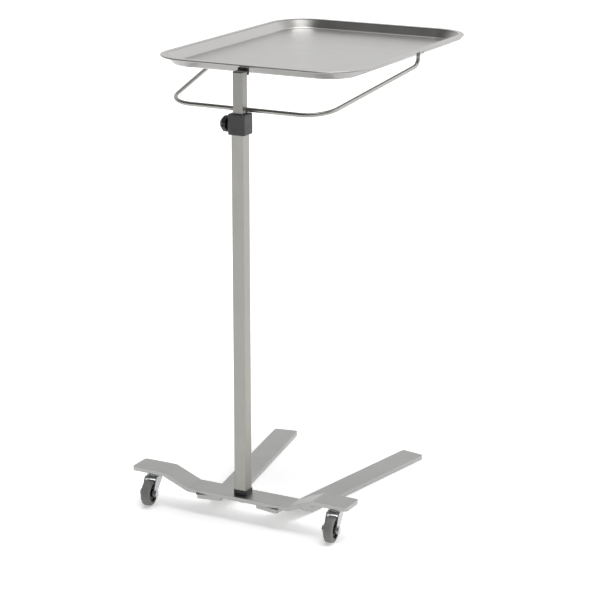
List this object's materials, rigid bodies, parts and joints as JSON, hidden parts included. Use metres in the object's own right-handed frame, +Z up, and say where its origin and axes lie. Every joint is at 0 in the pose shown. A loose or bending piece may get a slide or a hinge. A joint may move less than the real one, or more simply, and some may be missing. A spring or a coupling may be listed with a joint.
{
  "type": "mayo instrument stand",
  "caption": "Mobile instrument stand: a pressed rectangular tray on a height-adjustable square post, with two splayed flat legs and a joggled bar on swivel casters.",
  "frame": {"origin": "on the floor, in the middle of the stand's footprint", "axes": "+X along the cross bar, +Y along the legs away from the casters, +Z up"},
  "size_m": [0.465, 0.635, 0.868],
  "materials": {
    "bar_steel": "satin stainless flat bar",
    "tube_steel": "satin stainless tube, grain along its length",
    "rod_steel": "drawn stainless rod",
    "tray_steel": "satin pressed stainless sheet",
    "fork_steel": "bright zinc plated pressing",
    "race_steel": "dark satin pressing",
    "fixing_steel": "bright zinc plated",
    "plug_steel": "plain machined",
    "insert_brass": "turned",
    "collar_plastic": "moulded, fine grain",
    "knob_plastic": "moulded, satin",
    "trim_plastic": "moulded, satin",
    "slide_plastic": "natural low-friction moulding",
    "rest_rubber": "moulded",
    "hub_plastic": "moulded",
    "tyre_rubber": "grey non-marking"
  },
  "bodies": {
    "base": {"cross_bar": "bar_steel", "left_leg": "bar_steel", "right_leg": "bar_steel", "left_glide": "trim_plastic", "right_glide": "trim_plastic", "outer_tube": "tube_steel", "post_boot": "trim_plastic", "foot_plug": "plug_steel", "post_bolt": "fixing_steel", "post_washer": "fixing_steel", "guide_liner": "slide_plastic", "clamp_collar": "collar_plastic", "collar_screw": "fixing_steel", "clamp_insert": "insert_brass", "left_kingpin": "fixing_steel", "right_kingpin": "fixing_steel", "left_upper_race": "race_steel", "right_upper_race": "race_steel"},
    "post": {"inner_tube": "tube_steel", "bottom_guide": "slide_plastic", "top_plug": "trim_plastic", "tray_rest": "rest_rubber", "rest_screw": "fixing_steel", "support_rod": "rod_steel", "rim_rail": "rod_steel"},
    "tray_pan": {"tray": "tray_steel"},
    "clamp_pad": {"pressure_pad": "slide_plastic"},
    "knob": {"clamp_knob": "knob_plastic", "clamp_stud": "fixing_steel"},
    "left_swivel": {"left_fork": "fork_steel", "left_lower_race": "fork_steel", "left_race_balls": "fixing_steel", "left_axle_bolt": "fixing_steel", "left_axle_nut": "fixing_steel"},
    "right_swivel": {"right_fork": "fork_steel", "right_lower_race": "fork_steel", "right_race_balls": "fixing_steel", "right_axle_bolt": "fixing_steel", "right_axle_nut": "fixing_steel"},
    "left_wheel": {"left_tyre": "tyre_rubber", "left_hub": "hub_plastic", "left_bush": "slide_plastic"},
    "right_wheel": {"right_tyre": "tyre_rubber", "right_hub": "hub_plastic", "right_bush": "slide_plastic"}
  },
  "joints": [
    {"name": "post_slide", "type": "slide", "parent": "base", "child": "post", "axis": [0, 0, 1], "range_m": [0, 0.48]},
    {"name": "tray_lift", "type": "slide", "parent": "post", "child": "tray_pan", "axis": [0, 0, 1], "range_m": [0, 0.04]},
    {"name": "pad_slide", "type": "slide", "parent": "base", "child": "clamp_pad", "axis": [-1, 0, 0], "range_m": [0, 0.00125]},
    {"name": "knob_turn", "type": "hinge", "parent": "clamp_pad", "child": "knob", "pos_m": [-0.03, -0.26546, 0.762], "axis": [-1, 0, 0], "range_deg": [0, 360]},
    {"name": "left_swivel_turn", "type": "hinge", "parent": "base", "child": "left_swivel", "pos_m": [-0.1975, -0.26546, 0.058], "axis": [0, 0, 1], "continuous": true},
    {"name": "right_swivel_turn", "type": "hinge", "parent": "base", "child": "right_swivel", "pos_m": [0.1975, -0.26546, 0.058], "axis": [0, 0, 1], "continuous": true},
    {"name": "left_wheel_roll", "type": "hinge", "parent": "left_swivel", "child": "left_wheel", "pos_m": [-0.1936, -0.29217, 0.025], "axis": [0.9895, 0.1444, 0], "continuous": true},
    {"name": "right_wheel_roll", "type": "hinge", "parent": "right_swivel", "child": "right_wheel", "pos_m": [0.2014, -0.29217, 0.025], "axis": [0.9895, 0.1444, 0], "continuous": true}
  ],
  "couplings": [
    {"joint": "knob_turn", "follows": "pad_slide", "rad_per_m": 5026.5}
  ]
}
